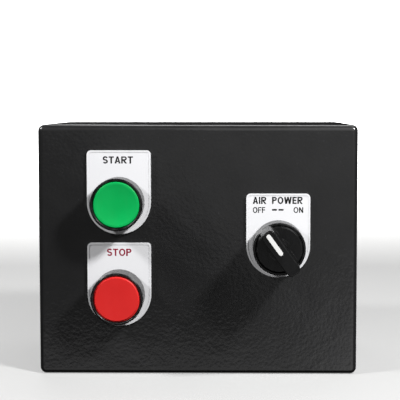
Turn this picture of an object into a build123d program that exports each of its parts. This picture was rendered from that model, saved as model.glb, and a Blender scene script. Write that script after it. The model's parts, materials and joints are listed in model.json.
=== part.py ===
from build123d import *

import os
from math import cos, radians, sin

# Magnetic motor starter: a folded steel box with a start button, a stop button and an air selector on
# its front, and a contactor with an overload relay on a rail inside. Millimetres. +X is right, +Y is into
# the box, +Z is up. "Depth" is measured into the box from the outer face of its front, so what stands out
# in front has a negative depth.

# Box
box_width = 178.0
box_height = 140.0
box_depth = 90.0
sheet = 1.5
bend_radius = 3.2
edge_radius = 3.5
pan_gap = 0.3
pan_flange = 16.0
pan_bend = 2.5
pad_height = 2.5
pad_radius = 11.0
mount_spacing_x = 144.0
mount_spacing_z = 100.0
mount_hole_radius = 2.75
mount_centre_z = 70.0

# Cable entries and fasteners
grommet_places = [(-42.0, 22.0), (42.0, 22.0)]
grommet_hole_radius = 8.0
cable_radius = 4.5
side_screw_heights = [25.0, 115.0]
side_screw_depth = 82.0
m4_radius = 2.0
m4_clearance = 0.1
earth_place = (64.0, 70.0)

# Rail
rail_length = 110.0
rail_height = 94.0
rail_screw_x = 45.0

# Operators: 22 mm push-buttons and selector, as (x, z) on the front
operators = {"start": (-43.7, 96.9), "stop": (-43.7, 45.4), "selector": (44.7, 72.9)}
bezel_radius = 14.3
bezel_reach = 15.0
neck_radius = 11.0
neck_end = 12.0
bore_radius = 8.0
socket_radius = 12.9
cap_radius = 12.6
cap_skirt = 11.2
cap_under = -12.2
skirt_end = -9.0
stem_radius = 7.7
stem_end = 10.2
legend_width = 35.4
legend_height = 46.6
legend_thickness = 1.2
legend_corner = 2.3
legend_rim = 0.15
gasket_thickness = 0.8
knob_reach = 30.0
handle_length = 28.5
handle_width = 9.0
handle_foot = 15.4
rest_angle = 36.0
pointer_length = 13.3
pointer_width = 2.3
pointer_depth = 0.8
travel = 4.0

# Selector cam: the knob's slanted shaft end pushes a follower's round nose back as the knob turns
cam_middle = 2.7
nose_radius = 1.2
nose_place = 5.0
cam_lift = travel / (2 * sin(radians(rest_angle)))
cam_slope = cam_lift / nose_place

# Contact blocks behind the operators
block_width = 13.0
block_height = 42.0
block_near = 15.0
block_far = 43.0
bridge_depth = 28.0
strip_depth = 35.4
block_terminal_offset = 16.5
wire_radius = 0.85
wire_bend = 4.0

# Contactor and overload relay
relay_width = 45.0
contactor_height = 58.0
pole_places = [-16.5, -5.5, 5.5, 16.5]
contactor_front = 29.0
contactor_ledge = 38.0
contactor_split = 55.0
contactor_back = 81.0
pole_terminal_offset = 23.5
armature_travel = 4.4
overload_top = 63.0
overload_bottom = 17.0
overload_front = 33.0
overload_split = 54.0
overload_back = 80.0
overload_terminal_z = 23.5
heater_places = pole_places[:3]
dial_place = (-12.0, 52.0)
reset_place = (4.5, 52.0)
test_place = (15.0, 52.0)

# The origin is under the middle of the whole part, so the front face stands this far back from it
face_y = (knob_reach - box_depth - pad_height) / 2

corner = edge_radius - sheet
pan_width = box_width - 2 * sheet - 2 * pan_gap
pan_height = box_height - 2 * sheet - 2 * pan_gap
gasket_front = legend_thickness + gasket_thickness
overload_middle = (overload_top + overload_bottom) / 2
overload_height = overload_top - overload_bottom


def front_plane(x=0.0, z=0.0, depth=0.0):
    """A plane that faces the viewer, at a depth. Its x runs right and its y runs up."""
    return Plane(origin=(x, face_y + depth, z), x_dir=(1, 0, 0), z_dir=(0, -1, 0))


def back_plane(x=0.0, z=0.0, depth=0.0):
    """A plane that faces away from the viewer, at a depth."""
    return Plane(origin=(x, face_y + depth, z), x_dir=(1, 0, 0), z_dir=(0, 1, 0))


def block(x, z, width, height, near, far, mode=Mode.ADD):
    """A box between two depths, centred on x and z."""
    with Locations((x, face_y + (near + far) / 2, z)):
        Box(width, far - near, height, mode=mode)


def rod(x, z, radius, near, far, mode=Mode.ADD):
    """A round bar or hole that runs along the depth."""
    with BuildSketch(front_plane(x, z, near)) as profile:
        Circle(radius)
    extrude(profile.sketch, amount=near - far, mode=mode)


def cross_rod(x_from, x_to, z, depth, radius, mode=Mode.ADD):
    """A round bar or hole that runs from side to side."""
    end_plane = Plane(origin=(x_from, face_y + depth, z), x_dir=(0, 1, 0), z_dir=(1, 0, 0))
    with BuildSketch(end_plane) as profile:
        Circle(radius)
    extrude(profile.sketch, amount=x_to - x_from, mode=mode)


def turn(x, z, outline, mode=Mode.ADD):
    """Spins an outline of (radius, depth) points about the line along the depth at x and z."""
    with BuildSketch(Plane(origin=(x, face_y, z), x_dir=(1, 0, 0), z_dir=(0, 0, 1))) as profile:
        with BuildLine():
            Polyline(*outline, close=True)
        make_face()
    revolve(profile.sketch, axis=Axis((x, face_y, z), (0, 1, 0)), mode=mode)


def save(piece, name):
    """Labels a finished piece and writes it as its own node."""
    piece.part.label = name
    export_step(piece.part, f"parts/{name}.step")


def make_spring(x, z, near, far, coil_radius, wire_radius, turns):
    """A compression spring that runs along the depth, with its wire wholly between near and far."""
    height = far - near - 2 * wire_radius
    with BuildPart() as spring:
        with BuildLine() as coil:
            Helix(
                pitch=height / turns,
                height=height,
                radius=coil_radius,
                center=(x, face_y + near + wire_radius, z),
                direction=(0, 1, 0),
            )
        with BuildSketch(Plane(origin=coil.line @ 0, z_dir=coil.line % 0)):
            Circle(wire_radius)
        sweep()
    return spring


def make_screw(shank_radius, shank_length, head_radius, head_height):
    """One cross-head screw. Its head stands on the XY plane and its shank hangs below."""
    recess_depth = 0.6 * head_height
    recess_length = 1.1 * head_radius
    recess_width = 0.25 * head_radius
    rim = 0.45 * head_height
    with BuildPart() as screw:
        with BuildSketch(Plane.XZ):
            with BuildLine():
                Polyline((0, head_height), (0, -shank_length), (shank_radius, -shank_length))
                Polyline(
                    (shank_radius, -shank_length), (shank_radius, 0), (head_radius, 0), (head_radius, rim)
                )
                TangentArc((0, head_height), (head_radius, rim), tangent=(1, 0))
            make_face()
        revolve(axis=Axis.Z)
        with BuildSketch(Plane.XY.offset(head_height - recess_depth)):
            Rectangle(recess_length, recess_width)
            Rectangle(recess_width, recess_length)
        extrude(amount=recess_depth, mode=Mode.SUBTRACT)
    return screw.part


def make_group(unit, planes):
    """Copies of one piece, each standing on its own plane, as separate solids."""
    with BuildPart() as group:
        with Locations(*[plane.location for plane in planes]):
            add(unit)
    return group


# Box


def cut_keyed_hole(x, z, near, far):
    """The 22 mm hole of an operator, with the notch for its key."""
    with BuildSketch(front_plane(x, z, near)) as profile:
        Circle(neck_radius + 0.2)
        with Locations((0, neck_radius + 0.4)):
            Rectangle(3.2, 3.0)
    extrude(profile.sketch, amount=near - far, mode=Mode.SUBTRACT)


def make_front_hood():
    """The folded and welded cover: the front and all four sides in one piece, open at the back."""
    with BuildPart() as hood:
        with BuildSketch(front_plane(z=box_height / 2)):
            RectangleRounded(box_width, box_height, edge_radius)
        extrude(amount=-box_depth)
        fillet(hood.faces().sort_by(Axis.Y)[0].edges(), radius=bend_radius)
        offset(amount=-sheet, openings=hood.faces().sort_by(Axis.Y)[-1])
        for x, z in operators.values():
            cut_keyed_hole(x, z, -1.0, sheet + 1.0)
        for z in side_screw_heights:
            cross_rod(-box_width, box_width, z, side_screw_depth, m4_radius + 0.25, Mode.SUBTRACT)
    return hood


def make_back_plate():
    """The shallow pan that closes the back, with pressed pads round its mounting holes."""
    wall = box_depth - sheet
    with BuildPart() as plate:
        with BuildSketch(front_plane(z=box_height / 2, depth=box_depth)):
            RectangleRounded(pan_width, pan_height, pan_bend)
        extrude(amount=pan_flange)
        fillet(plate.faces().sort_by(Axis.Y)[-1].edges(), radius=0.8 * pan_bend)
        offset(amount=-sheet, openings=plate.faces().sort_by(Axis.Y)[0])
        for x in (-mount_spacing_x / 2, mount_spacing_x / 2):
            for dz in (-mount_spacing_z / 2, mount_spacing_z / 2):
                z = mount_centre_z + dz
                crown = pad_radius - pad_height
                far = box_depth + pad_height
                foot = wall + 0.5
                turn(x, z, [(0, foot), (pad_radius, foot), (pad_radius, box_depth), (crown, far), (0, far)])
                rim = pad_radius - 0.6
                bed = far - sheet
                well = [(0, wall - 1), (rim, wall - 1), (rim, wall), (crown - 0.6, bed), (0, bed)]
                turn(x, z, well, Mode.SUBTRACT)
                rod(x, z, mount_hole_radius, wall, far + 1, Mode.SUBTRACT)
        for x, z in grommet_places:
            rod(x, z, grommet_hole_radius, wall - 1, box_depth + 1, Mode.SUBTRACT)
        for x in (-rail_screw_x, rail_screw_x):
            rod(x, rail_height, m4_radius + m4_clearance, wall - 1, box_depth + 1, Mode.SUBTRACT)
        for z in side_screw_heights:
            cross_rod(-box_width, box_width, z, side_screw_depth, m4_radius + m4_clearance, Mode.SUBTRACT)
    return plate


def side_planes(reach):
    """The four places of the side screws, each facing out of its side at that reach."""
    y = face_y + side_screw_depth
    return [
        Plane(origin=(side * reach, y, z), x_dir=(0, 1, 0), z_dir=(side, 0, 0))
        for side in (-1, 1)
        for z in side_screw_heights
    ]


def make_side_nut():
    """One square clip nut, standing on the XY plane."""
    with BuildPart() as nut:
        with BuildSketch():
            RectangleRounded(9.0, 9.0, 0.8)
            Circle(m4_radius + 0.05, mode=Mode.SUBTRACT)
        extrude(amount=3.0)
    return nut.part


def make_grommet():
    """One rubber cable grommet, with its axis on Z and its groove on the XY plane's upper side."""
    flange = grommet_hole_radius + 3.0
    groove = grommet_hole_radius
    outline = [
        (cable_radius, -1.5),
        (flange - 0.5, -1.5),
        (flange, -1.0),
        (flange, 0.0),
        (groove, 0.0),
        (groove, sheet),
        (flange, sheet),
        (flange, sheet + 1.0),
        (flange - 1.0, sheet + 1.5),
        (cable_radius + 2.5, sheet + 1.8),
        (cable_radius + 1.2, sheet + 4.5),
        (cable_radius, sheet + 4.5),
    ]
    with BuildPart() as grommet:
        with BuildSketch(Plane.XZ):
            with BuildLine():
                Polyline(*outline, close=True)
            make_face()
        revolve(axis=Axis.Z)
    return grommet.part


def make_din_rail():
    """The 35 mm top-hat rail, with slots in its base."""
    base_front, base_back, lip = box_depth - sheet - 1.0, box_depth - sheet, contactor_back
    profile = [
        (lip, 17.5),
        (lip + 1, 17.5),
        (lip + 1, 13.5),
        (base_back, 13.5),
        (base_back, -13.5),
        (lip + 1, -13.5),
        (lip + 1, -17.5),
        (lip, -17.5),
        (lip, -12.5),
        (base_front, -12.5),
        (base_front, 12.5),
        (lip, 12.5),
    ]
    end = Plane(origin=(-rail_length / 2, face_y, rail_height), x_dir=(0, 1, 0), z_dir=(1, 0, 0))
    with BuildPart() as rail:
        with BuildSketch(end):
            with BuildLine():
                Polyline(*profile, close=True)
            make_face()
        extrude(amount=rail_length)
        with BuildSketch(front_plane(0, rail_height, base_front - 1)):
            with GridLocations(22.5, 1, 5, 1):
                SlotOverall(15.0, 5.2)
        extrude(amount=-4, mode=Mode.SUBTRACT)
    return rail


def make_earth_stud():
    """The M5 stud welded to the back plate."""
    wall = box_depth - sheet
    weld = wall - 1.0
    with BuildPart() as stud:
        thread = [(0, 73), (2.1, 73), (2.5, 73.6), (2.5, weld)]
        turn(*earth_place, [*thread, (3.6, weld), (3.6, wall), (0, wall)])
    return stud


def make_earth_nut():
    """The flanged hexagon nut on the earth stud."""
    x, z = earth_place
    with BuildPart() as nut:
        with BuildSketch(front_plane(x, z, 84.0)):
            RegularPolygon(4.6, 6)
        extrude(amount=4.0)
        rod(x, z, 5.6, 84.0, 85.2)
        rod(x, z, 2.55, 79, 86, Mode.SUBTRACT)
    return nut


# Operators


def legend_outline(plane, inset):
    """The outline of a legend plate: a square top and a half-round bottom, drawn in by an inset."""
    half = legend_width / 2 - inset
    top = legend_height - legend_width / 2 - inset
    with BuildSketch(plane) as outline:
        with BuildLine():
            Polyline((-half, 0), (-half, top), (half, top), (half, 0))
            ThreePointArc((half, 0), (0, -half), (-half, 0))
        make_face()
        fillet(outline.vertices().group_by(Axis.Y)[-1], radius=legend_corner - inset)
    return outline.sketch


def make_legend_plate(x, z):
    """A plate keyed to its operator, with a raised rim round a flat face."""
    with BuildPart() as plate:
        extrude(legend_outline(front_plane(x, z), 0.0), amount=legend_thickness + legend_rim)
        extrude(legend_outline(front_plane(x, z, -legend_thickness), 1.0), amount=1.0, mode=Mode.SUBTRACT)
        cut_keyed_hole(x, z, -legend_thickness - 1, 1.0)
    return plate


def make_gasket():
    """One flat panel gasket, standing on the XY plane."""
    with BuildPart() as gasket:
        with BuildSketch():
            Circle(bezel_radius - 0.6)
            Circle(neck_radius + 0.2, mode=Mode.SUBTRACT)
        extrude(amount=gasket_thickness)
    return gasket.part


def make_bezel(x, z, keyed=False):
    """The operator's body: a ring in front of the panel and a threaded neck through it."""
    back = -gasket_front
    web = back - 2.0
    thread_start, pitch, thread_depth = 2.0, 1.0, 0.35
    outline = [
        (bore_radius, web),
        (socket_radius, web),
        (socket_radius, -bezel_reach + 0.3),
        (socket_radius + 0.3, -bezel_reach),
        (bezel_radius - 0.5, -bezel_reach),
        (bezel_radius, -bezel_reach + 0.5),
        (bezel_radius, back),
        (neck_radius, back),
        (neck_radius, thread_start),
    ]
    root = neck_radius - thread_depth
    for ridge in range(int((neck_end - thread_start) / pitch)):
        crest = thread_start + ridge * pitch
        outline += [(root, crest + 0.35), (neck_radius, crest + 0.7), (neck_radius, crest + 1.0)]
    outline.append((bore_radius, neck_end))
    with BuildPart() as bezel:
        turn(x, z, outline)
        block(x, z + neck_radius, 3.0, 2.6, -legend_thickness, sheet - 0.1)
        rod(x, z, bore_radius, web - 1, neck_end, Mode.SUBTRACT)
        if keyed:
            block(x, z - bore_radius, 2.2, 2.0, 7.0, neck_end, Mode.SUBTRACT)
    return bezel


def make_start_cap(x, z):
    """The flush button: a dished face, a skirt and the stem behind it."""
    front = -bezel_reach + 0.1
    with BuildPart() as cap:
        with BuildSketch(Plane(origin=(x, face_y, z), x_dir=(1, 0, 0), z_dir=(0, 0, 1))):
            with BuildLine():
                Polyline(
                    (0, front + 0.7),
                    (0, stem_end),
                    (stem_radius, stem_end),
                    (stem_radius, cap_under),
                    (cap_skirt, cap_under),
                    (cap_skirt, skirt_end),
                    (cap_radius, skirt_end),
                    (cap_radius, front + 0.5),
                    (cap_radius - 0.5, front),
                    (cap_radius - 1.4, front),
                )
                Line((0, front + 0.7), (2.0, front + 0.7))
                TangentArc((2.0, front + 0.7), (cap_radius - 1.4, front), tangent=(1, 0))
            make_face()
        revolve(axis=Axis((x, face_y, z), (0, 1, 0)))
    return cap


def make_stop_cap(x, z):
    """The flat-faced button: it stands just proud of the bezel, with a rounded edge."""
    front = -bezel_reach - 0.3
    round_edge = 0.9
    with BuildPart() as cap:
        with BuildSketch(Plane(origin=(x, face_y, z), x_dir=(1, 0, 0), z_dir=(0, 0, 1))):
            with BuildLine():
                Polyline(
                    (0, front),
                    (0, stem_end),
                    (stem_radius, stem_end),
                    (stem_radius, cap_under),
                    (cap_skirt, cap_under),
                    (cap_skirt, skirt_end),
                    (cap_radius, skirt_end),
                    (cap_radius, front + round_edge),
                )
                RadiusArc((cap_radius, front + round_edge), (cap_radius - round_edge, front), -round_edge)
                Line((cap_radius - round_edge, front), (0, front))
            make_face()
        revolve(axis=Axis((x, face_y, z), (0, 1, 0)))
    return cap


def pointer_plane(depth):
    """A plane on the selector's axis whose y runs along the handle to its pointer end, at rest."""
    x, z = operators["selector"]
    tilt = radians(rest_angle)
    return Plane(origin=(x, face_y + depth, z), x_dir=(cos(tilt), 0, sin(tilt)), z_dir=(0, -1, 0))


def make_selector_knob():
    """The turning knob: a disc with a handle across it, and a shaft whose slanted end is the cam."""
    x, z = operators["selector"]
    disc_front = -bezel_reach - 0.6
    handle_height = knob_reach - handle_foot
    uphill = radians(180 + rest_angle)
    cam_normal = (-cam_slope * cos(uphill), 1, -cam_slope * sin(uphill))
    with BuildPart() as knob:
        turn(
            x,
            z,
            [
                (0, disc_front),
                (cap_radius - 0.6, disc_front),
                (cap_radius, disc_front + 0.6),
                (cap_radius, skirt_end),
                (stem_radius, skirt_end),
                (stem_radius, 9.0),
                (0, 9.0),
            ],
        )
        split(bisect_by=Plane(origin=(x, face_y + cam_middle, z), z_dir=cam_normal), keep=Keep.BOTTOM)
        with BuildSketch(pointer_plane(-handle_foot)):
            RectangleRounded(handle_width, handle_length, 3.4)
        extrude(amount=handle_height, taper=2.5)
        fillet(knob.faces().sort_by(Axis.Y)[0].edges(), radius=0.6)
        rod(x, z, 6.0, -handle_foot - 1.0, cap_under)
        with BuildSketch(pointer_plane(-knob_reach)):
            with Locations((0, 5.6)):
                SlotOverall(pointer_length, pointer_width, rotation=90)
        extrude(amount=-pointer_depth, mode=Mode.SUBTRACT)
    return knob


def make_knob_pointer():
    """The white strip let into the handle's front."""
    with BuildPart() as pointer:
        with BuildSketch(pointer_plane(-knob_reach)):
            with Locations((0, 5.6)):
                SlotOverall(pointer_length, pointer_width, rotation=90)
        extrude(amount=-pointer_depth)
    return pointer


def make_cam_follower():
    """The sliding disc that the cam pushes back, with a round nose for the cam and a rib for the neck."""
    x, z = operators["selector"]
    contact = cam_middle - cam_lift * sin(radians(rest_angle))
    centre = contact + nose_radius * (1 + cam_slope**2) ** 0.5 + 0.15
    disc = 8.3
    with BuildPart() as follower:
        rod(x, z, bore_radius - 0.3, disc, stem_end)
        rod(x, z + nose_place, nose_radius, centre, disc + 0.5)
        with Locations((x, face_y + centre, z + nose_place)):
            Sphere(nose_radius)
        block(x, z - bore_radius + 0.3, 1.8, 1.2, disc, stem_end)
    return follower


def make_lock_nut():
    """One round nut with six notches, standing on the XY plane."""
    with BuildPart() as nut:
        with BuildSketch():
            Circle(bezel_radius - 0.5)
            Circle(neck_radius + 0.05, mode=Mode.SUBTRACT)
            with PolarLocations(bezel_radius - 0.5, 6):
                Rectangle(3.0, 4.0, mode=Mode.SUBTRACT)
        extrude(amount=5.0)
    return nut.part


def make_collar():
    """An adaptor that clips onto the neck and carries a contact block, with its block side on XY."""
    with BuildPart() as collar:
        with BuildSketch():
            RectangleRounded(30.0, 38.0, 3.0)
            Circle(bore_radius + 1.0, mode=Mode.SUBTRACT)
        extrude(amount=block_near - 7.0)
        with BuildSketch(Plane.XY.offset(2.7)):
            Circle(neck_radius + 0.1)
        extrude(amount=10, mode=Mode.SUBTRACT)
        with BuildSketch(Plane.XY.offset(2.0)):
            with Locations((0, 17.5)):
                Rectangle(9.0, 6.0)
            with Locations((0, -17.5)):
                Rectangle(9.0, 6.0)
        extrude(amount=3.0)
    return collar.part


def cut_strip_slots(x, z):
    """The slots through which the contact strips leave the block's cavity."""
    for side in (-1, 1):
        block(x, z + side * 12.5, 6.2, 3.0, strip_depth - 0.05, strip_depth + 1.05, Mode.SUBTRACT)


def make_block_housing(x, z):
    """The housing of a contact block, open on its right side."""
    with BuildPart() as housing:
        block(x, z, block_width, block_height, block_near, block_far)
        block(x + 0.75, z, block_width - 1.5, 24.0, 18.0, 40.0, Mode.SUBTRACT)
        rod(x, z, 2.6, block_near - 1, 19.0, Mode.SUBTRACT)
        for side in (-1, 1):
            block(x, z + side * block_terminal_offset, 9.0, 7.0, 31.0, block_far + 1, Mode.SUBTRACT)
            block(x, z + side * (block_height / 2), 5.0, 4.0, 36.5, block_far + 1, Mode.SUBTRACT)
        cut_strip_slots(x, z)
        chamfer(housing.edges().filter_by(Axis.X).group_by(Axis.Y)[0], length=0.8)
    return housing


def make_block_covers():
    """The three side covers of the contact blocks."""
    with BuildPart() as covers:
        for x, z in operators.values():
            block(x + block_width / 2 - 0.75, z, 1.45, 23.9, 18.05, 39.95)
    return covers


def make_block_plunger(x, z):
    """The plunger of a contact block, with the window that holds its bridge."""
    with BuildPart() as plunger:
        rod(x, z, 2.4, stem_end + 0.3, 24.5)
        block(x, z, 6.0, 7.0, 24.0, 32.0)
        rod(x, z, 1.4, 31.5, 34.0)
        block(x, z, 4.2, 8.0, bridge_depth - 0.1, bridge_depth + 0.9, Mode.SUBTRACT)
    return plunger


def make_block_bridge(x, z, closes):
    """The moving bridge. Its tips face back in a block that closes, or forward in one that opens."""
    near = bridge_depth + (0.7 if closes else -1.0)
    far = near + 1.1
    with BuildPart() as bridge:
        block(x, z, 4.0, 19.0, bridge_depth, bridge_depth + 0.8)
        for side in (-1, 1):
            rod(x, z + side * 8.0, 1.5, near, far)
    return bridge


def add_fixed_strip(x, z, side, closes):
    """One fixed contact strip, from its tip in the cavity to its terminal."""
    tail = strip_depth + 1.0
    if closes:
        path = [(6, strip_depth), (19, strip_depth), (19, tail), (6, tail)]
        near, far = bridge_depth + 1.8 + travel + 0.1, strip_depth + 0.1
    else:
        tip_back = bridge_depth - 1.1
        path = [
            (6, tip_back - 2),
            (11.9, tip_back - 2),
            (11.9, strip_depth),
            (19, strip_depth),
            (19, tail),
            (10.9, tail),
            (10.9, tip_back - 1),
            (6, tip_back - 1),
        ]
        near, far = tip_back - 1.1, tip_back
    centre = z + side * 8.0
    with BuildSketch(Plane(origin=(x - 3.0, 0, 0), x_dir=(0, 1, 0), z_dir=(1, 0, 0))) as profile:
        with BuildLine():
            Polyline(*[(face_y + depth, z + side * across) for across, depth in path], close=True)
        make_face()
    extrude(profile.sketch, amount=6.0)
    rod(x, centre, 1.5, near, far)
    rod(x, z + side * block_terminal_offset, 1.7, strip_depth - 1, tail + 1, Mode.SUBTRACT)


def make_block_strips():
    """The six fixed contact strips. The stop button's pair opens when it is pushed, the others close."""
    with BuildPart() as strips:
        for name, (x, z) in operators.items():
            for side in (-1, 1):
                add_fixed_strip(x, z, side, name != "stop")
    return strips


# Contactor


def make_contactor_cover():
    """The front half of the contactor: the contact chamber and eight terminal pockets."""
    z0 = rail_height
    slot = 14.0
    with BuildPart() as cover:
        block(0, z0, relay_width, contactor_height, contactor_ledge, contactor_split)
        block(0, z0, relay_width, 34.0, contactor_front, contactor_ledge)
        chamfer(cover.faces().sort_by(Axis.Y)[0].edges(), length=1.0)
        block(0, z0, 41.0, 31.0, contactor_front + 2.5, contactor_split, Mode.SUBTRACT)
        block(0, z0, 7.0, 11.0, contactor_front - 1, contactor_front + 3, Mode.SUBTRACT)
        for x in pole_places:
            for side in (-1, 1):
                rod(x, z0 + side * pole_terminal_offset, 3.7, contactor_ledge - 1, 45.0, Mode.SUBTRACT)
                block(x, z0 + side * (15.0 + slot / 2), 8.0, slot + 0.5, 44.9, 49.5, Mode.SUBTRACT)
                rod(x, z0 + side * pole_terminal_offset, 1.8, 49.0, 53.0, Mode.SUBTRACT)
    return cover


def make_contactor_base():
    """The rear half of the contactor, which holds the magnet, with its rail hook and coil terminals."""
    z0 = rail_height
    half = contactor_height / 2
    with BuildPart() as base:
        block(0, z0, relay_width, contactor_height, contactor_split, contactor_back)
        block(0, z0 + half + 3.9, relay_width, 8.0, 57.0, contactor_back)
        block(0, z0 + 23.4, relay_width, 11.2, contactor_back - 0.5, contactor_back + 4)
        block(0, z0 + 16.3, relay_width, 3.2, contactor_back + 1.1, contactor_back + 4)
        block(0, z0 - 23.4, relay_width, 11.2, contactor_back - 0.5, contactor_back + 4)
        block(0, z0 - 23.4, 12.6, 12.0, contactor_back + 1.1, contactor_back + 5, Mode.SUBTRACT)
        block(0, z0, 39.5, 33.0, contactor_split - 1, 78.5, Mode.SUBTRACT)
        for x in (-16.5, 16.5):
            rod(x, z0 + half + 4.0, 1.8, 56.0, 64.0, Mode.SUBTRACT)
    return base


def add_magnet(yoke_near, yoke_far, leg_near, leg_far):
    """An E-shaped laminated magnet half."""
    block(0, rail_height, 36.0, 12.0, yoke_near, yoke_far)
    for x, width in ((-16.0, 4.0), (0.0, 9.0), (16.0, 4.0)):
        block(x, rail_height, width, 12.0, leg_near, leg_far)


def make_fixed_core():
    """The magnet half that sits in the coil."""
    with BuildPart() as core:
        add_magnet(72.5, 78.0, 60.0, 73.0)
    return core


def make_armature():
    """The magnet half that the coil pulls in."""
    with BuildPart() as armature:
        add_magnet(46.0, 51.5, 51.0, 60.0 - armature_travel - 0.1)
    return armature


def make_bobbin():
    """The coil's former, round the core's middle leg."""
    z0 = rail_height
    with BuildPart() as bobbin:
        block(0, z0, 11.2, 14.2, 59.5, 72.2)
        block(0, z0, 26.8, 29.6, 59.5, 60.5)
        block(0, z0, 26.8, 29.6, 71.2, 72.2)
        block(0, z0, 9.2, 12.2, 59.0, 73.0, Mode.SUBTRACT)
    return bobbin


def make_winding():
    """The coil's copper, between the bobbin's flanges."""
    with BuildPart() as winding:
        with BuildSketch(front_plane(0, rail_height, 60.6)):
            RectangleRounded(25.8, 28.6, 4.0)
            Rectangle(11.3, 14.3, mode=Mode.SUBTRACT)
        extrude(amount=-10.5)
    return winding


def make_contact_carrier():
    """The moving frame on the armature. It holds the bridges, and its nose shows in the front window."""
    z0 = rail_height
    with BuildPart() as carrier:
        block(0, z0, 40.0, 8.0, 36.0, 46.0)
        block(0, z0, 6.0, 10.0, contactor_front + 1, 36.5)
        for x in pole_places:
            block(x, z0, 5.4, 9.0, 38.2, 41.0, Mode.SUBTRACT)
    return carrier


def make_moving_contacts():
    """The four bridges that the carrier moves."""
    with BuildPart() as bridges:
        for x in pole_places:
            block(x, rail_height, 5.0, 30.0, 39.0, 40.0)
            for side in (-1, 1):
                rod(x, rail_height + side * 12.0, 1.9, 39.9, 41.2)
    return bridges


def make_fixed_contacts():
    """The eight strips that the bridges close onto, each with its terminal hole."""
    tip = 41.2 + armature_travel + 0.1
    with BuildPart() as strips:
        for x in pole_places:
            for side in (-1, 1):
                block(x, rail_height + side * 18.5, 7.0, 19.0, tip + 1.0, tip + 2.2)
                rod(x, rail_height + side * 12.0, 1.9, tip, tip + 1.1)
                rod(x, rail_height + side * pole_terminal_offset, 1.8, tip, tip + 3, Mode.SUBTRACT)
    return strips


def make_din_latch():
    """The sliding catch that holds the contactor on the rail."""
    z0 = rail_height
    top, bottom = z0 - 14.8, z0 - 34.0
    with BuildPart() as latch:
        block(0, (top + bottom) / 2, 12.0, top - bottom, contactor_back + 1.3, contactor_back + 3.3)
        block(0, bottom + 3.0, 4.0, 2.0, contactor_back, contactor_back + 4, Mode.SUBTRACT)
    return latch


# Overload relay


def make_overload_cover():
    """The front half of the overload relay, with its dial, two buttons and a row of terminals."""
    ledge_top = 31.0
    ledge_front = 42.0
    with BuildPart() as cover:
        upper_middle = (ledge_top + overload_top) / 2
        lower_middle = (overload_bottom + ledge_top) / 2
        block(0, upper_middle, relay_width, overload_top - ledge_top, overload_front, overload_split)
        block(0, lower_middle, relay_width, ledge_top - overload_bottom, ledge_front, overload_split)
        chamfer(cover.faces().sort_by(Axis.Y)[0].edges(), length=1.0)
        block(0, 47.0, 41.0, 26.0, overload_front + 3, overload_split, Mode.SUBTRACT)
        rod(*dial_place, 4.7, overload_front - 1, overload_front + 4, Mode.SUBTRACT)
        block(*reset_place, 7.4, 7.4, overload_front - 1, overload_front + 4, Mode.SUBTRACT)
        block(*test_place, 5.4, 7.4, overload_front - 1, overload_front + 4, Mode.SUBTRACT)
        for x in pole_places:
            rod(x, overload_terminal_z, 3.7, ledge_front - 1, 47.0, Mode.SUBTRACT)
            block(x, 24.0, 8.0, 14.5, 46.4, 50.5, Mode.SUBTRACT)
            rod(x, overload_terminal_z, 1.8, 50.0, 53.5, Mode.SUBTRACT)
        for x in heater_places:
            block(x, 61.0, 5.2, 6.0, 44.9, 46.7, Mode.SUBTRACT)
            block(x, 32.0, 5.4, 6.0, 48.2, 49.8, Mode.SUBTRACT)
    return cover


def make_overload_housing():
    """The rear half of the overload relay."""
    with BuildPart() as housing:
        block(0, overload_middle, relay_width, overload_height, overload_split, overload_back)
        block(0, 46.5, 41.0, 27.0, overload_split - 1, overload_back - 3, Mode.SUBTRACT)
    return housing


def make_overload_pins():
    """The three copper pins that plug into the contactor, bent back to the heaters."""
    top = rail_height - 25.4
    with BuildPart() as pins:
        for x in heater_places:
            block(x, (top + 57.0) / 2, 5.0, top - 57.0, 45.0, 46.6)
            block(x, 57.8, 5.0, 1.6, 45.0, 60.0)
    return pins


def make_overload_heaters():
    """The three bimetal strips, each with its heater wound round it."""
    with BuildPart() as heaters:
        for x in heater_places:
            block(x, 47.0, 4.0, 24.0, 60.0, 61.0)
            for n in range(5):
                block(x, 43.0 + 2.2 * n, 6.0, 1.4, 59.0, 62.0)
    return heaters


def make_overload_terminals():
    """The four output strips, three of them running up to the heaters."""
    with BuildPart() as strips:
        for x in pole_places:
            block(x, 24.5, 5.0, 13.0, 48.4, 49.6)
            if x in heater_places:
                block(x, 32.5, 5.0, 5.0, 48.4, 49.6)
                block(x, 34.7, 5.0, 1.2, 48.4, 60.0)
            rod(x, overload_terminal_z, 1.8, 48.0, 50.0, Mode.SUBTRACT)
    return strips


def make_current_dial():
    """The round dial that sets the tripping current, with a driver slot."""
    with BuildPart() as dial:
        outline = [(0, 32.2), (4.0, 32.2), (4.4, 32.6), (4.4, 36.4), (6.0, 36.4), (6.0, 38.0), (0, 38.0)]
        turn(*dial_place, outline)
        block(*dial_place, 1.2, 7.0, 31.0, 33.4, Mode.SUBTRACT)
    return dial


def make_square_button(place, width, front):
    """A small square button with a lip that keeps it in the cover."""
    with BuildPart() as button:
        block(*place, width, 7.0, front, 39.0)
        chamfer(button.faces().sort_by(Axis.Y)[0].edges(), length=0.6)
        block(*place, width + 1.6, 9.0, 36.2, 37.4)
    return button


# Terminal screws and wires


def terminal_screw_planes():
    """Where every terminal screw's head sits, facing the driver."""
    planes = []
    for x, z in operators.values():
        for side in (-1, 1):
            planes.append(back_plane(x, z + side * block_terminal_offset, strip_depth + 1.5))
    for x in pole_places:
        for side in (-1, 1):
            planes.append(front_plane(x, rail_height + side * pole_terminal_offset, 44.9))
        planes.append(front_plane(x, overload_terminal_z, 46.6))
    for x in (-16.5, 16.5):
        planes.append(front_plane(x, rail_height + contactor_height / 2 + 4.0, 57.0))
    return planes


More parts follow.
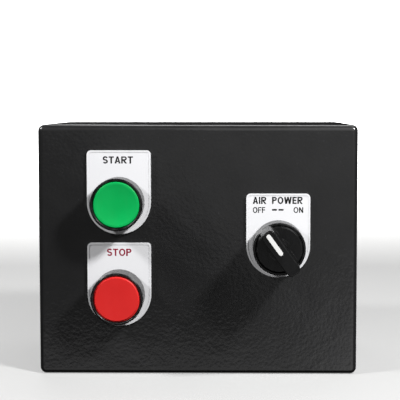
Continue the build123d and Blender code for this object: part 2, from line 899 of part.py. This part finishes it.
def make_wire(route):
    """One insulated wire along a route of (x, depth, z) points, with rounded corners."""
    points = [(x, face_y + depth, z) for x, depth, z in route]
    with BuildPart() as wire:
        with BuildLine() as path:
            if len(points) > 2:
                FilletPolyline(*points, radius=wire_bend)
            else:
                Line(*points)
        with BuildSketch(Plane(origin=path.line @ 0, z_dir=path.line % 0)):
            Circle(wire_radius)
        sweep()
    return wire.part


def make_control_wires():
    """The wires from the contact blocks to each other, to the coil and to the relays."""
    left, start_z = operators["start"]
    stop_z = operators["stop"][1]
    right, selector_z = operators["selector"]
    entry = block_terminal_offset + 3.1
    depth = strip_depth + 2.8
    coil_x, coil_depth, coil_z = pole_places[3] + 3.2, 56.0, rail_height + contactor_height / 2 + 4.0
    pole, pole_depth, pole_z = pole_places[3], 45.8, rail_height + pole_terminal_offset + 1.7
    relay_depth, relay_z = 47.5, overload_terminal_z - 1.7
    top, bottom, side = 133.0, 9.0, right + 12.0
    routes = [
        [(left, depth, stop_z + entry), (left, depth, start_z - entry)],
        [
            (left, depth, start_z + entry),
            (left, depth, coil_z),
            (left, coil_depth, coil_z),
            (-coil_x, coil_depth, coil_z),
        ],
        [
            (right, depth, selector_z + entry),
            (right, depth, coil_z),
            (right, coil_depth, coil_z),
            (coil_x, coil_depth, coil_z),
        ],
        [
            (left, depth, stop_z - entry),
            (left, depth, bottom),
            (left, relay_depth, bottom),
            (pole, relay_depth, bottom),
            (pole, relay_depth, relay_z),
        ],
        [
            (right, depth, selector_z - entry),
            (right, depth, selector_z - entry - 9.0),
            (side, depth, selector_z - entry - 9.0),
            (side, depth, top - 5.0),
            (side - 5.0, pole_depth, top),
            (pole, pole_depth, top),
            (pole, pole_depth, pole_z),
        ],
    ]
    wires = [make_wire(route) for route in routes]
    with BuildPart() as group:
        for wire in wires:
            add(wire)
    return group


def main():
    os.makedirs("parts", exist_ok=True)
    m4_screw = make_screw(m4_radius, 8.0, 4.0, 2.6)
    rail_screw = make_screw(m4_radius, 4.2, 3.8, 2.4)
    terminal_screw = make_screw(1.5, 4.2, 3.0, 2.2)
    wall = box_depth - sheet

    save(make_front_hood(), "front_hood")
    save(make_back_plate(), "back_plate")
    save(make_group(m4_screw, side_planes(box_width / 2)), "hood_screws")
    save(make_group(make_side_nut(), side_planes(pan_width / 2 - sheet - 3.0)), "clip_nuts")
    entries = [front_plane(x, z, box_depth) for x, z in grommet_places]
    save(make_group(make_grommet(), entries), "cable_grommets")
    save(make_din_rail(), "din_rail")
    rail_planes = [front_plane(x, rail_height, wall - 1.0) for x in (-rail_screw_x, rail_screw_x)]
    save(make_group(rail_screw, rail_planes), "din_rail_screws")
    save(make_earth_stud(), "earth_stud")
    save(make_earth_nut(), "earth_nut")

    places = operators.values()
    gasket_planes = [front_plane(x, z, -legend_thickness) for x, z in places]
    for name, (x, z) in operators.items():
        save(make_legend_plate(x, z), f"{name}_legend_plate")
        save(make_bezel(x, z, keyed=name == "selector"), f"{name}_bezel")
        save(make_block_housing(x, z), f"{name}_contact_block")
        save(make_block_plunger(x, z), f"{name}_block_plunger")
        save(make_block_bridge(x, z, closes=name != "stop"), f"{name}_block_bridge")
        save(make_spring(x, z, 32.1, 39.9, 2.2, 0.3, 5), f"{name}_block_spring")
    for name in ("start", "stop"):
        save(make_spring(*operators[name], cap_under + 0.1, -4.1, 9.5, 0.3, 3), f"{name}_return_spring")
    save(make_start_cap(*operators["start"]), "start_button")
    save(make_stop_cap(*operators["stop"]), "stop_button")
    save(make_selector_knob(), "selector_knob")
    save(make_knob_pointer(), "knob_pointer")
    save(make_cam_follower(), "cam_follower")
    save(make_group(make_gasket(), gasket_planes), "panel_gaskets")
    save(make_group(make_lock_nut(), [back_plane(x, z, sheet) for x, z in places]), "lock_nuts")
    save(make_group(make_collar(), [front_plane(x, z, block_near) for x, z in places]), "block_collars")
    save(make_block_covers(), "block_covers")
    save(make_block_strips(), "block_contact_strips")

    save(make_contactor_base(), "contactor_base")
    save(make_contactor_cover(), "contactor_cover")
    save(make_fixed_core(), "fixed_core")
    save(make_bobbin(), "coil_bobbin")
    save(make_winding(), "coil_winding")
    save(make_armature(), "armature")
    save(make_contact_carrier(), "contact_carrier")
    save(make_moving_contacts(), "moving_contacts")
    save(make_fixed_contacts(), "fixed_contacts")
    save(make_spring(0, rail_height, 51.6, 59.4, 8.6, 0.4, 3), "armature_spring")
    save(make_din_latch(), "din_latch")

    save(make_overload_housing(), "overload_housing")
    save(make_overload_cover(), "overload_cover")
    save(make_overload_pins(), "overload_pins")
    save(make_overload_heaters(), "overload_heaters")
    save(make_overload_terminals(), "overload_terminals")
    save(make_current_dial(), "current_dial")
    save(make_square_button(reset_place, 7.0, 31.0), "reset_button")
    save(make_square_button(test_place, 5.0, 32.0), "test_button")
    save(make_group(terminal_screw, terminal_screw_planes()), "terminal_screws")
    save(make_control_wires(), "control_wires")


main()
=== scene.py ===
import json
import math

import bmesh
import bpy
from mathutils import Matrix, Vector


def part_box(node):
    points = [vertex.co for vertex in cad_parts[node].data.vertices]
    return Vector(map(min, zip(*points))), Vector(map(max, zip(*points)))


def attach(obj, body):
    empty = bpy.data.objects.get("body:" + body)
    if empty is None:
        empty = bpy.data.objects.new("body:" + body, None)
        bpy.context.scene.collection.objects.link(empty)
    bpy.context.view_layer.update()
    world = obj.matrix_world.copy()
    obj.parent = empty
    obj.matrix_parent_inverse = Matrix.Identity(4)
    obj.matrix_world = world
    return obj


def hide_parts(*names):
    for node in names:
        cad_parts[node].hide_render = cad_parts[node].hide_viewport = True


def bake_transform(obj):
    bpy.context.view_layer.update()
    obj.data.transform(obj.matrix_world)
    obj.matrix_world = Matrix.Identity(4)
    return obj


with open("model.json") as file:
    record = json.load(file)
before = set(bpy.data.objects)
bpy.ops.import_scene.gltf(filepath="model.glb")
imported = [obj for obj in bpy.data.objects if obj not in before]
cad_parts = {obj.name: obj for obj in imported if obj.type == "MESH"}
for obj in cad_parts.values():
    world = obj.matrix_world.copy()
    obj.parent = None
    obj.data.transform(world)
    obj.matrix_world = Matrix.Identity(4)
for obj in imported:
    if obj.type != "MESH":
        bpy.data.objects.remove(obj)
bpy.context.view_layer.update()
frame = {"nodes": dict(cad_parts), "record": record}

MM = 0.001
nodes = frame["nodes"]
face_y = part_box("front_hood")[0].y


# ---------------------------------------------------------------- materials
class Shader:
    """A Principled material, and short ways to wire textures into it. Noise scales are per metre."""

    def __init__(self, name, roughness, **sockets):
        self.material = bpy.data.materials.new(name)
        self.material.use_nodes = True
        self.tree = self.material.node_tree
        self.surface = self.tree.nodes["Principled BSDF"]
        self.surface.inputs["Roughness"].default_value = roughness
        for socket, value in sockets.items():
            self.surface.inputs[socket.replace("_", " ")].default_value = value
        self.place = self.add("ShaderNodeTexCoord").outputs["Object"]

    def add(self, kind, inputs=None, **settings):
        node = self.tree.nodes.new(kind)
        for setting, value in settings.items():
            setattr(node, setting, value)
        for socket, value in (inputs or {}).items():
            if isinstance(value, bpy.types.NodeSocket):
                self.tree.links.new(value, node.inputs[socket])
            else:
                node.inputs[socket].default_value = value
        return node

    def link(self, output, socket):
        self.tree.links.new(output, self.surface.inputs[socket])

    def stretched(self, scale):
        return self.add("ShaderNodeMapping", {"Vector": self.place, "Scale": scale}).outputs["Vector"]

    def noise(self, scale, detail=2.0, rough=0.5, stretch=None):
        place = self.stretched(stretch) if stretch else self.place
        inputs = {"Vector": place, "Scale": scale, "Detail": detail, "Roughness": rough}
        return self.add("ShaderNodeTexNoise", inputs).outputs["Fac"]

    def cells(self, scale):
        return self.add("ShaderNodeTexVoronoi", {"Vector": self.place, "Scale": scale}).outputs["Distance"]

    def bands(self, period, axis):
        """Ridges one period apart, in metres."""
        inputs = {"Vector": self.place, "Scale": 2 * math.pi / 20 / period, "Detail": 1.0}
        return self.add("ShaderNodeTexWave", inputs, bands_direction=axis).outputs["Fac"]

    def remap(self, value, low, high, to_low=0.0, to_high=1.0):
        inputs = {"Value": value, "From Min": low, "From Max": high, "To Min": to_low, "To Max": to_high}
        return self.add("ShaderNodeMapRange", inputs).outputs["Result"]

    def times(self, first, second):
        return self.add("ShaderNodeMath", {0: first, 1: second}, operation="MULTIPLY").outputs[0]

    def edges(self, radius):
        """1 on the edges sharper than the radius, 0 on the flats."""
        bevel = self.add("ShaderNodeBevel", {"Radius": radius}, samples=4)
        normal = self.add("ShaderNodeNewGeometry").outputs["Normal"]
        normals = {0: bevel.outputs["Normal"], 1: normal}
        dot = self.add("ShaderNodeVectorMath", normals, operation="DOT_PRODUCT")
        return self.remap(dot.outputs["Value"], 0.995, 0.86)

    def mix(self, factor, first, second):
        node = self.add("ShaderNodeMix", {"Factor": factor}, data_type="RGBA")
        for index, value in ((6, first), (7, second)):
            if isinstance(value, bpy.types.NodeSocket):
                self.tree.links.new(value, node.inputs[index])
            else:
                node.inputs[index].default_value = (*value, 1.0)
        return node.outputs[2]

    def bump(self, *layers):
        """Each layer is a height from 0 to 1 and how many metres it stands for."""
        normal = None
        for height, metres in layers:
            inputs = {"Height": height, "Strength": 1.0, "Distance": metres}
            if normal is not None:
                inputs["Normal"] = normal
            normal = self.add("ShaderNodeBump", inputs).outputs["Normal"]
        self.link(normal, "Normal")
        return normal


def powder_coat():
    """Black paint: a dull base with fine light flecks, as dust specks and as painted glints, under a
    glossy coat with orange peel.
    """
    s = Shader("black_powder_coat", 0.4, Specular_IOR_Level=0.22, Coat_Weight=1.0, Coat_Roughness=0.07)
    peel = s.noise(520, detail=1.5, rough=0.55)
    swell = s.noise(75, detail=1.0)
    cloud = s.noise(16, detail=3.0)
    # Sparse light flecks in the base colour: dust specks and painted glints.
    dust_and_glint_fleck = s.remap(s.noise(1500, detail=1.0), 0.73, 0.80)
    base = s.mix(cloud, (0.0085, 0.0085, 0.0088), (0.0125, 0.0125, 0.0129))
    base = s.mix(s.times(dust_and_glint_fleck, 0.5), base, (0.10, 0.10, 0.105))
    # Edges lighter in patches: rubbed paint and a painted edge highlight.
    rubbed_and_highlit_edges = s.times(s.edges(0.0012), s.remap(s.noise(120, detail=4.0), 0.52, 0.7))
    s.link(s.mix(rubbed_and_highlit_edges, base, (0.05, 0.05, 0.051)), "Base Color")
    s.link(s.remap(s.noise(70, detail=3.0), 0.3, 0.7, 0.36, 0.48), "Roughness")
    coated = s.bump((swell, 0.00009), (peel, 0.00006), (s.noise(2600, detail=1.0), 0.000006))
    s.link(coated, "Coat Normal")
    return s.material


def plastic(name, colour, dark, roughness, grain, scale=1800, edge_wear_and_highlight_colour=None, **sockets):
    """Moulded plastic with a grain of that many metres. Its edge colour goes on its edges in patches:
    rubbed wear and a painted edge highlight.
    """
    s = Shader(name, roughness, **sockets)
    base = s.mix(s.remap(s.noise(45, detail=3.0), 0.3, 0.7), dark, colour)
    if edge_wear_and_highlight_colour:
        # Lighter patches along the edges: rubbed wear and a painted edge highlight.
        edge_wear_and_highlight_mask = s.times(s.edges(0.0006), s.remap(s.noise(260, detail=3.0), 0.40, 0.60))
        base = s.mix(s.times(edge_wear_and_highlight_mask, 0.6), base, edge_wear_and_highlight_colour)
    s.link(base, "Base Color")
    scuff = s.noise(320, detail=3.0, stretch=(1.0, 1.0, 0.22))
    s.link(s.remap(scuff, 0.3, 0.72, roughness - 0.05, roughness + 0.09), "Roughness")
    s.bump((s.noise(130, detail=1.0), grain * 2.5), (s.noise(scale, detail=2.0), grain))
    return s.material


def metal(name, colour, dark, roughness, brushed, heights=(), tarnish=None):
    """Brushed metal. heights are more layers: a texture's method, its values, and its depth in metres."""
    s = Shader(name, roughness, Metallic=1.0)
    base = s.mix(s.remap(s.cells(420), 0.1, 0.75), colour, dark)
    if tarnish:
        stain = s.remap(s.noise(80, detail=4.0), 0.52, 0.72)
        base = s.mix(s.times(stain, 0.6), base, tarnish)
    # Every edge a quarter lighter than the flats: a painted edge highlight.
    base = s.mix(s.times(s.edges(0.0004), 0.5), base, tuple(min(1.0, c * 1.25) for c in colour))
    s.link(base, "Base Color")
    lines = s.noise(700, detail=3.0, stretch=brushed)
    s.link(s.remap(lines, 0.25, 0.75, roughness - 0.08, roughness + 0.12), "Roughness")
    s.bump((lines, 0.000012), *[(getattr(s, kind)(*values), metres) for kind, values, metres in heights])
    return s.material


def rubber():
    s = Shader("rubber", 0.6, Specular_IOR_Level=0.4)
    bloom = s.remap(s.noise(90, detail=4.0), 0.45, 0.75)
    s.link(s.mix(bloom, (0.022, 0.022, 0.023), (0.05, 0.05, 0.052)), "Base Color")
    s.link(s.remap(s.noise(400, detail=2.0), 0.3, 0.7, 0.52, 0.74), "Roughness")
    s.bump((s.noise(1500, detail=3.0), 0.00004))
    return s.material


def legend_plastic():
    s = Shader("legend_white", 0.34, Specular_IOR_Level=0.45)
    base = s.mix(s.noise(40, detail=3.0), (0.80, 0.80, 0.82), (0.86, 0.86, 0.875))
    # Darker in patches along its sharp edges and corners.
    patchy_dark_edges = s.times(s.edges(0.0009), s.remap(s.noise(300, detail=3.0), 0.4, 0.7))
    s.link(s.mix(s.times(patchy_dark_edges, 0.35), base, (0.55, 0.55, 0.56)), "Base Color")
    s.link(s.remap(s.noise(500, detail=3.0), 0.3, 0.7, 0.28, 0.42), "Roughness")
    s.bump((s.noise(1700, detail=2.0), 0.000008))
    return s.material


finishes = {
    "black_powder_coat": powder_coat(),
    "zinc_steel": metal(
        "zinc_steel", (0.66, 0.67, 0.67), (0.52, 0.53, 0.55), 0.3, (1.0, 1.0, 0.1),
        tarnish=(0.45, 0.44, 0.41),
    ),
    "spring_steel": metal("spring_steel", (0.55, 0.55, 0.56), (0.42, 0.42, 0.44), 0.26, (0.3, 1.0, 1.0)),
    "magnet_steel": metal(
        "magnet_steel", (0.40, 0.41, 0.44), (0.28, 0.29, 0.32), 0.38, (1.0, 0.2, 1.0),
        heights=[("bands", (0.0005, "X"), 0.00004)], tarnish=(0.2, 0.17, 0.14),
    ),
    "copper": metal(
        "copper", (0.80, 0.38, 0.20), (0.62, 0.27, 0.14), 0.3, (1.0, 0.15, 1.0),
        heights=[("bands", (0.0004, "Y"), 0.00006)], tarnish=(0.38, 0.18, 0.10),
    ),
    "contact_brass": metal(
        "contact_brass", (0.84, 0.66, 0.32), (0.70, 0.52, 0.24), 0.28, (0.2, 1.0, 1.0),
        tarnish=(0.42, 0.30, 0.14),
    ),
    "rubber": rubber(),
    "legend_white": legend_plastic(),
    "black_plastic": plastic(
        "black_plastic", (0.0040, 0.0040, 0.0042), (0.0022, 0.0022, 0.0024), 0.26, 0.000006,
        edge_wear_and_highlight_colour=(0.10, 0.10, 0.10), Specular_IOR_Level=0.36,
    ),
    "green_plastic": plastic(
        "green_plastic", (0.0, 0.44, 0.095), (0.0, 0.38, 0.078), 0.42, 0.000008, Specular_IOR_Level=0.3
    ),
    "red_plastic": plastic(
        "red_plastic", (0.74, 0.026, 0.024), (0.66, 0.020, 0.019), 0.42, 0.000008, Specular_IOR_Level=0.3
    ),
    "white_plastic": plastic("white_plastic", (0.88, 0.88, 0.87), (0.80, 0.80, 0.79), 0.3, 0.000006),
    "dark_grey_plastic": plastic(
        "dark_grey_plastic", (0.062, 0.063, 0.068), (0.045, 0.046, 0.05), 0.5, 0.00002, 2200,
        edge_wear_and_highlight_colour=(0.17, 0.17, 0.17),
    ),
    "light_grey_plastic": plastic(
        "light_grey_plastic", (0.52, 0.53, 0.52), (0.44, 0.45, 0.44), 0.5, 0.00002, 2200,
        edge_wear_and_highlight_colour=(0.64, 0.64, 0.63),
    ),
    "blue_plastic": plastic("blue_plastic", (0.05, 0.16, 0.52), (0.035, 0.12, 0.42), 0.42, 0.000015),
    "wire_insulation": plastic(
        "wire_insulation", (0.085, 0.085, 0.095), (0.055, 0.055, 0.06), 0.45, 0.00001
    ),
}
ink_black = plastic(
    "ink_black", (0.005, 0.005, 0.005), (0.003, 0.003, 0.003), 0.5, 0.000004, Specular_IOR_Level=0.25
)
ink_red = plastic(
    "ink_red", (0.30, 0.004, 0.034), (0.24, 0.002, 0.027), 0.5, 0.000004, Specular_IOR_Level=0.3
)


def paint(obj, material):
    obj.data.materials.clear()
    obj.data.materials.append(material)


slot_of = {part["node"]: part["material_slot"] for part in frame["record"]["subparts"]}
for name, node in nodes.items():
    paint(node, finishes[slot_of[name]])


# ---------------------------------------------------------------- springs
def compressing_spring(name):
    """A copy of a spring's mesh in its place, with the spring's finish, while the CAD node itself is
    hidden.
    """
    mesh = nodes[name].data.copy()
    mesh.transform(nodes[name].matrix_world)
    spring = bpy.data.objects.new(name + "_coils", mesh)
    bpy.context.scene.collection.objects.link(spring)
    paint(spring, finishes[slot_of[name]])
    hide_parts(name)
    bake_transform(spring)


compressing_spring("armature_spring")
for push_button in ("start", "stop"):
    compressing_spring(push_button + "_return_spring")
for operator in ("start", "stop", "selector"):
    compressing_spring(operator + "_block_spring")


# ---------------------------------------------------------------- printed legends
LEGEND_RIM = 0.15 * MM
INK_PROUD = 0.03 * MM
INK_SUNK = 0.02 * MM


def arc(x, y, rx, ry, start, end, steps=14):
    """Points on an elliptical arc, with angles in degrees."""
    turn = [math.radians(start + (end - start) * i / steps) for i in range(steps + 1)]
    return [(x + rx * math.cos(a), y + ry * math.sin(a)) for a in turn]


def thick(points, weight):
    """The closed outline of a stroke of even weight along points."""
    left, right = [], []
    for i, (x, y) in enumerate(points):
        (x0, y0), (x1, y1) = points[max(i - 1, 0)], points[min(i + 1, len(points) - 1)]
        run = math.hypot(x1 - x0, y1 - y0)
        dx, dy = (y0 - y1) / run * weight / 2, (x1 - x0) / run * weight / 2
        left.append((x + dx, y + dy))
        right.append((x - dx, y - dy))
    return left + right[::-1]


def glyph(letter, w):
    """A plain capital's outlines, 1 high with strokes w wide, and its width. Inner ones are holes."""
    h = 0.88 * w
    if letter == "I":
        return [[(0, 0), (w, 0), (w, 1), (0, 1)]], w
    if letter == "T":
        g = 0.70
        a, b = (g - w) / 2, (g + w) / 2
        return [[(0, 1), (0, 1 - h), (a, 1 - h), (a, 0), (b, 0), (b, 1 - h), (g, 1 - h), (g, 1)]], g
    if letter in "EF":
        g = 0.62
        foot = [(0, 0), (g, 0), (g, h), (w, h)] if letter == "E" else [(0, 0), (w, 0)]
        low, high = 0.51 - h / 2, 0.51 + h / 2
        middle = [(w, low), (0.92 * g, low), (0.92 * g, high), (w, high)]
        return [[*foot, *middle, (w, 1 - h), (g, 1 - h), (g, 1), (0, 1)]], g
    if letter == "N":
        g, t = 0.74, 2.1 * w
        inner = [(w, 1 - t), (g - w, 0), (g, 0), (g, 1), (g - w, 1), (g - w, t), (w, 1), (0, 1)]
        return [[(0, 0), (w, 0)] + inner], g
    if letter == "A":
        g, s, top = 0.80, 1.12 * w, 1 - 1.25 * w
        slope = (g / 2 - s) / top
        low, high = 0.22, 0.22 + h
        outer = [
            (0, 0), (s, 0), (s + slope * low, low), (g - s - slope * low, low), (g - s, 0), (g, 0),
            (g / 2 + 0.52 * w, 1), (g / 2 - 0.52 * w, 1),
        ]
        return [outer, [(s + slope * high, high), (g - s - slope * high, high), (g / 2, top)]], g
    if letter == "W":
        g, s = 1.12, 1.1 * w
        foot = 0.255 * g
        notch = 2 * s / (g - s)
        peak = (g / 2 - foot - s / 2) / (g / 2 - foot)
        dip = s + (foot - s / 2) * (1 - notch)
        return [[
            (0, 1), (foot - s / 2, 0), (foot + s / 2, 0), (g / 2, peak), (g - foot - s / 2, 0),
            (g - foot + s / 2, 0), (g, 1), (g - s, 1), (g - dip, notch), (g / 2 + s / 2, 1),
            (g / 2 - s / 2, 1), (dip, notch), (s, 1),
        ]], g
    if letter in "PR":
        g, low = (0.70 if letter == "P" else 0.76), 0.42
        r = (1 - low) / 2
        bowl = arc(g - r, low + r, r, r, -90, 90)
        hole = [(w, low + h), *arc(g - r, low + r, r - w, r - h, -90, 90), (w, 1 - h)]
        if letter == "P":
            return [[(0, 0), (w, 0), (w, low), *bowl, (0, 1)], hole], g
        leg, toe = 1.15 * w, g + 0.02
        foot = [(0, 0), (w, 0), (w, low), (g - r - leg, low), (g - leg, 0), (toe, 0)]
        return [[*foot, *bowl, (0, 1)], hole], toe
    if letter == "O":
        g = 0.86
        outer = arc(g / 2, 0.5, g / 2, 0.515, 0, 354, 59)
        return [outer, arc(g / 2, 0.5, g / 2 - w, 0.515 - h, 0, 350, 35)], g
    if letter == "S":
        g = 0.70
        rx, ry = (g - w) / 2, (1.03 - h) / 4
        upper = arc(g / 2, 0.5 + ry, rx, ry, 22, 235)
        lower = arc(g / 2, 0.5 - ry, rx, ry, 55, -158)
        return [thick(upper + lower, 0.96 * w)], g
    return [[(0, 0.37), (0.42, 0.37), (0.42, 0.65), (0, 0.65)]], 0.42


def print_word(name, plate, text, centre, top, width, height, weight, spacing, material, slot):
    """A printed word as a thin mesh on a legend plate.

    centre is its middle's distance right of the plate's, and top its distance under the plate's top edge.
    Those, width and height are in mm, and weight and spacing are in parts of the height.
    """
    curve = bpy.data.curves.new(name, "CURVE")
    curve.dimensions = "2D"
    curve.fill_mode = "BOTH"
    curve.extrude = 0.5
    along = 0.0
    for letter in text:
        outlines, advance = glyph(letter, weight)
        for outline in outlines:
            spline = curve.splines.new("POLY")
            spline.points.add(len(outline) - 1)
            for point, (x, y) in zip(spline.points, outline):
                point.co = (along + x, y, 0, 1)
            spline.use_cyclic_u = True
        along += advance + spacing
    source = bpy.data.objects.new(name + "_source", curve)
    bpy.context.scene.collection.objects.link(source)
    bpy.context.view_layer.update()
    mesh = bpy.data.meshes.new_from_object(source.evaluated_get(bpy.context.evaluated_depsgraph_get()))
    bpy.data.objects.remove(source)
    plate_low, plate_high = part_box(plate)
    left = (plate_low.x + plate_high.x) / 2 + (centre - width / 2) * MM
    base = plate_high.z - (top + height) * MM
    stretch = width / (along - spacing)
    front, back = plate_low.y + LEGEND_RIM - INK_PROUD, plate_low.y + LEGEND_RIM + INK_SUNK
    for v in mesh.vertices:
        v.co = (left + v.co.x * stretch * MM, front if v.co.z > 0 else back, base + v.co.y * height * MM)
    work = bmesh.new()
    work.from_mesh(mesh)
    bmesh.ops.remove_doubles(work, verts=work.verts, dist=1e-7)
    bmesh.ops.recalc_face_normals(work, faces=work.faces)
    work.to_mesh(mesh)
    work.free()
    mesh.name = name
    word = bpy.data.objects.new(name, mesh)
    bpy.context.scene.collection.objects.link(word)
    paint(word, material)
    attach(word, "enclosure")


start, stop, selector = "start_legend_plate", "stop_legend_plate", "selector_legend_plate"
WORDS = [
    ("start_word", start, "START", -0.45, 3.3, 16.7, 3.9, 0.205, 0.10, ink_black, "black_plastic"),
    ("stop_word", stop, "STOP", 0.0, 3.2, 13.6, 4.0, 0.205, 0.11, ink_red, "red_plastic"),
    ("air_word", selector, "AIR", -10.4, 1.7, 7.5, 3.9, 0.215, 0.12, ink_black, "black_plastic"),
    ("power_word", selector, "POWER", 5.0, 1.7, 16.9, 3.9, 0.215, 0.12, ink_black, "black_plastic"),
    ("off_word", selector, "OFF", -10.7, 7.4, 6.8, 3.2, 0.18, 0.12, ink_black, "black_plastic"),
    ("dash_marks", selector, "--", -0.3, 7.3, 6.3, 3.3, 0.16, 0.15, ink_black, "black_plastic"),
    ("on_word", selector, "ON", 11.1, 7.4, 5.3, 3.2, 0.18, 0.13, ink_black, "black_plastic"),
]
for word in WORDS:
    print_word(*word)


# ---------------------------------------------------------------- studio
def paper_sheet(name, profile, half_width):
    """A sheet of studio paper that follows a profile of (y, z) points, and lights nothing by itself."""
    work = bmesh.new()
    rows = [[work.verts.new((x, y, z)) for x in (-half_width, -1.0, 1.0, half_width)] for y, z in profile]
    for lower, upper in zip(rows, rows[1:]):
        for i in range(3):
            work.faces.new((lower[i], lower[i + 1], upper[i + 1], upper[i]))
    for face in work.faces:
        face.smooth = True
    mesh = bpy.data.meshes.new(name)
    work.to_mesh(mesh)
    work.free()
    sheet = bpy.data.objects.new(name, mesh)
    bpy.context.scene.collection.objects.link(sheet)
    paint(sheet, paper)
    sheet.visible_diffuse = False
    sheet.visible_glossy = False


def studio_paper():
    white = (1.0, 1.0, 1.0, 1.0)
    s = Shader("studio_paper", 0.6, Specular_IOR_Level=0.2, Emission_Color=white, Emission_Strength=0.30)
    s.link(s.mix(s.noise(4, detail=3.0), (0.30, 0.30, 0.297), (0.33, 0.33, 0.327)), "Base Color")
    s.bump((s.noise(900, detail=2.0), 0.00002))
    return s.material


def soft_light(name, place, target, size, power):
    light = bpy.data.lights.new(name, "AREA")
    light.shape = "RECTANGLE"
    light.size, light.size_y = size
    light.energy = power
    lamp = bpy.data.objects.new(name, light)
    lamp.location = place
    lamp.rotation_mode = "QUATERNION"
    lamp.rotation_quaternion = (Vector(target) - Vector(place)).to_track_quat("-Z", "Y")
    bpy.context.scene.collection.objects.link(lamp)


paper = studio_paper()
SWEEP_START, SWEEP_RADIUS, WALL_TOP = 1.6, 0.8, 3.2
paper_sheet("studio_floor", [(-2.4, 0.0), (-0.6, 0.0), (0.4, 0.0), (SWEEP_START, 0.0)], 4.0)
sweep = [
    (SWEEP_START + SWEEP_RADIUS * math.sin(a), SWEEP_RADIUS * (1 - math.cos(a)))
    for a in (math.pi / 2 * i / 16 for i in range(17))
]
paper_sheet("studio_backdrop", [*sweep, (SWEEP_START + SWEEP_RADIUS, WALL_TOP)], 4.0)

middle = Vector((0.0, face_y, 0.07))
soft_light("key_left", middle + Vector((-0.66, -0.24, 0.56)), middle, (0.10, 0.10), 7.0)
soft_light("key_right", middle + Vector((0.42, -0.32, 0.46)), middle, (0.09, 0.09), 7.6)
soft_light("front_fill", middle + Vector((0.35, -1.0, 0.50)), middle, (0.9, 0.9), 1.4)
soft_light("top_back", (0.15, 0.45, 1.2), (0.0, 0.0, 0.14), (0.8, 0.4), 4)
soft_light("back_fill", (-0.5, 1.1, 0.8), (0.0, 0.06, 0.07), (0.7, 0.7), 2.5)
soft_light("backdrop_wash", (0.0, 1.0, 1.9), (0.0, 2.4, 1.4), (2.4, 0.6), 700)


DARK_ROOM, AMBIENT = 0.015, 0.05


def studio_world():
    """White to the camera. The gloss mirrors a card up on the right, the table in front and its corner."""
    world = bpy.data.worlds.new("studio")
    world.use_nodes = True
    sky = world.node_tree

    def add(kind, inputs, **settings):
        node = sky.nodes.new(kind)
        for setting, value in settings.items():
            setattr(node, setting, value)
        for socket, value in inputs.items():
            if isinstance(value, bpy.types.NodeSocket):
                sky.links.new(value, node.inputs[socket])
            else:
                node.inputs[socket].default_value = value
        return node.outputs

    def ramp(value, low, high, to_low, to_high):
        inputs = {"Value": value, "From Min": low, "From Max": high, "To Min": to_low, "To Max": to_high}
        return add("ShaderNodeMapRange", inputs, interpolation_type="SMOOTHSTEP")["Result"]

    def math_node(operation, *values):
        return add("ShaderNodeMath", dict(enumerate(values)), operation=operation)[0]

    toward = sky.nodes.new("ShaderNodeTexCoord").outputs["Generated"]
    split = add("ShaderNodeSeparateXYZ", {0: toward})
    up_right = {0: toward, 1: (0.63, 0.0, 0.775)}
    slant = add("ShaderNodeVectorMath", up_right, operation="DOT_PRODUCT")["Value"]
    card = ramp(slant, -0.16, -0.10, 0.01, 0.22)
    table = ramp(split["Z"], -0.21, -0.29, 0.0, 0.46)
    right = ramp(split["X"], 0.05, 0.16, 0.0, 0.5)
    corner = math_node("MULTIPLY", right, ramp(split["Z"], -0.14, -0.24, 0.0, 1.0))
    front = math_node("ADD", math_node("MAXIMUM", card, table), corner)
    ahead = ramp(split["Y"], -0.5, -0.8, 0.0, 1.0)
    back, low = ramp(split["Y"], 0.5, 0.8, 0.0, 1.0), ramp(split["Z"], 0.0, -0.12, 0.0, 0.22)
    behind = math_node("MULTIPLY", back, low)
    lit = math_node("ADD", math_node("MULTIPLY_ADD", front, ahead, behind), DARK_ROOM)
    rays = sky.nodes.new("ShaderNodeLightPath").outputs
    mirrored = add("ShaderNodeMix", {"Factor": rays["Is Glossy Ray"], "A": AMBIENT, "B": lit})["Result"]
    strength = add("ShaderNodeMix", {"Factor": rays["Is Camera Ray"], "A": mirrored, "B": 1.0})["Result"]
    sky.links.new(strength, sky.nodes["Background"].inputs["Strength"])
    sky.nodes["Background"].inputs["Color"].default_value = (1.0, 1.0, 1.0, 1.0)
    bpy.context.scene.world = world


studio_world()
bpy.context.scene.view_settings.view_transform = "Standard"

# ---------------------------------------------------------------- camera
CAMERA_X, CAMERA_AHEAD, CAMERA_Z = 16.76 * MM, 520.77 * MM, 150.73 * MM
CAMERA_LENS = 84.76
CAMERA_SHIFT = (-0.05, -0.10)
CAMERA_DOWN, CAMERA_YAW = math.radians(3.326), math.radians(-0.482)

camera_data = bpy.data.cameras.new("camera")
camera_data.lens = CAMERA_LENS
camera_data.sensor_width = 36.0
camera_data.shift_x, camera_data.shift_y = CAMERA_SHIFT
camera_data.clip_start, camera_data.clip_end = 0.02, 20.0
camera = bpy.data.objects.new("camera", camera_data)
camera.location = (CAMERA_X, face_y - CAMERA_AHEAD, CAMERA_Z)
camera.rotation_euler = (math.pi / 2 - CAMERA_DOWN, 0.0, -CAMERA_YAW)
bpy.context.scene.collection.objects.link(camera)
bpy.context.scene.camera = camera
